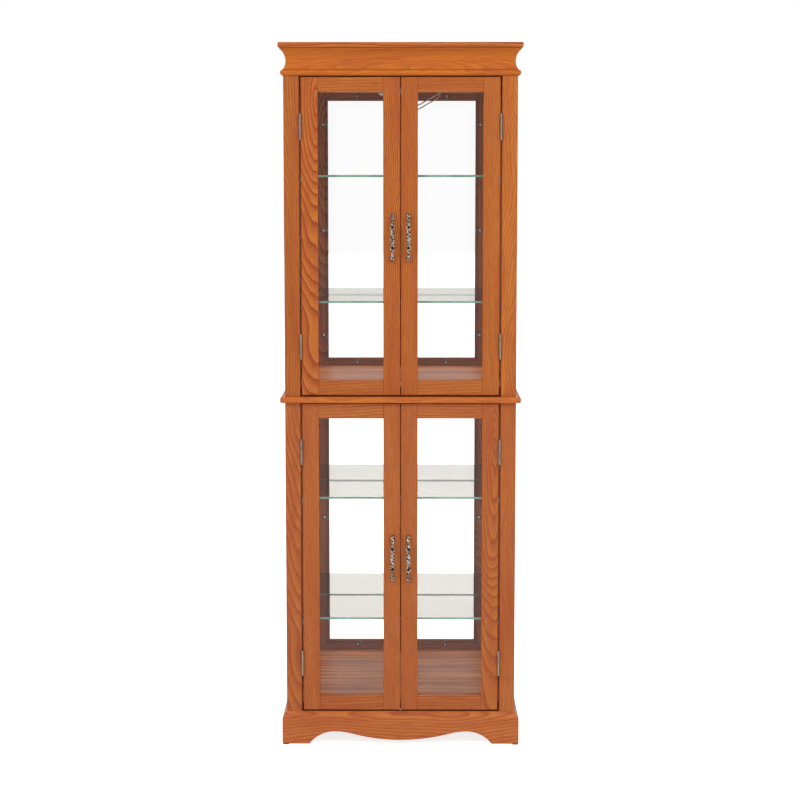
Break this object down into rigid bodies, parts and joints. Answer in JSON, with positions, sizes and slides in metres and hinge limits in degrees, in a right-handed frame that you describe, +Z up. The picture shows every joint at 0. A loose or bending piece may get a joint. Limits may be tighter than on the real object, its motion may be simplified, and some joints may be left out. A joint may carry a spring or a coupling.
{
  "type": "glass cabinet",
  "caption": "Tall display cabinet with glazed doors above and below, glass shelves, mirrored backs, a cove crown and a shaped plinth.",
  "frame": {"origin": "on the floor, at the middle of the overall bounding box with the doors closed", "axes": "+Z up, -Y out of the glazed front, +X to the right of someone who faces the front"},
  "size_m": [0.594, 0.344, 1.74],
  "materials": {
    "oak": "golden brown stain under satin lacquer",
    "softwood": "plain",
    "clear_glass": "polished",
    "silvered_glass": "polished",
    "pewter": "antique pewter plating",
    "nickelled_steel": "satin nickel",
    "catch_plastic": "brown",
    "clip_plastic": "translucent",
    "glide_plastic": "brown",
    "lamp_metal": "satin",
    "lamp_plastic": "frosted",
    "lead_plastic": "plain"
  },
  "bodies": {
    "cabinet": {"plinth_front": "oak", "plinth_returns": "oak", "back_rails": "oak", "corner_blocks": "softwood", "foot_pads": "glide_plastic", "lower_floor": "oak", "waist_board": "oak", "upper_floor": "oak", "ceiling_board": "oak", "top_board": "oak", "crown_front": "oak", "crown_returns": "oak", "lower_left_side_frame": "oak", "lower_right_side_frame": "oak", "upper_left_side_frame": "oak", "upper_right_side_frame": "oak", "side_glass": "clear_glass", "back_panels": "softwood", "upper_mirror": "silvered_glass", "lower_mirror": "silvered_glass", "upper_glass_shelves": "clear_glass", "lower_glass_shelves": "clear_glass", "shelf_brackets": "nickelled_steel", "frame_hinge_leaves": "nickelled_steel", "magnetic_catches": "catch_plastic", "lamp_housing": "lamp_metal", "lamp_lens": "lamp_plastic", "lamp_lead": "lead_plastic"},
    "upper_left_door": {"upper_left_door_hinge_stile": "oak", "upper_left_door_lock_stile": "oak", "upper_left_door_rails": "oak", "upper_left_door_glass": "clear_glass", "upper_left_door_glass_clips": "clip_plastic", "upper_left_door_pull": "pewter", "upper_left_door_hinge_leaves": "nickelled_steel", "upper_left_door_strike_plate": "nickelled_steel"},
    "upper_right_door": {"upper_right_door_hinge_stile": "oak", "upper_right_door_lock_stile": "oak", "upper_right_door_rails": "oak", "upper_right_door_glass": "clear_glass", "upper_right_door_glass_clips": "clip_plastic", "upper_right_door_pull": "pewter", "upper_right_door_hinge_leaves": "nickelled_steel", "upper_right_door_strike_plate": "nickelled_steel"},
    "lower_left_door": {"lower_left_door_hinge_stile": "oak", "lower_left_door_lock_stile": "oak", "lower_left_door_rails": "oak", "lower_left_door_glass": "clear_glass", "lower_left_door_glass_clips": "clip_plastic", "lower_left_door_pull": "pewter", "lower_left_door_hinge_leaves": "nickelled_steel", "lower_left_door_strike_plate": "nickelled_steel"},
    "lower_right_door": {"lower_right_door_hinge_stile": "oak", "lower_right_door_lock_stile": "oak", "lower_right_door_rails": "oak", "lower_right_door_glass": "clear_glass", "lower_right_door_glass_clips": "clip_plastic", "lower_right_door_pull": "pewter", "lower_right_door_hinge_leaves": "nickelled_steel", "lower_right_door_strike_plate": "nickelled_steel"}
  },
  "joints": [
    {"name": "upper_left_door_hinge", "type": "hinge", "parent": "cabinet", "child": "upper_left_door", "pos_m": [-0.24475, -0.1513, 1.269], "axis": [0, 0, -1], "range_deg": [0, 170]},
    {"name": "upper_right_door_hinge", "type": "hinge", "parent": "cabinet", "child": "upper_right_door", "pos_m": [0.24475, -0.1513, 1.269], "axis": [0, 0, 1], "range_deg": [0, 170]},
    {"name": "lower_left_door_hinge", "type": "hinge", "parent": "cabinet", "child": "lower_left_door", "pos_m": [-0.24475, -0.1513, 0.4735], "axis": [0, 0, -1], "range_deg": [0, 170]},
    {"name": "lower_right_door_hinge", "type": "hinge", "parent": "cabinet", "child": "lower_right_door", "pos_m": [0.24475, -0.1513, 0.4735], "axis": [0, 0, 1], "range_deg": [0, 170]}
  ]
}
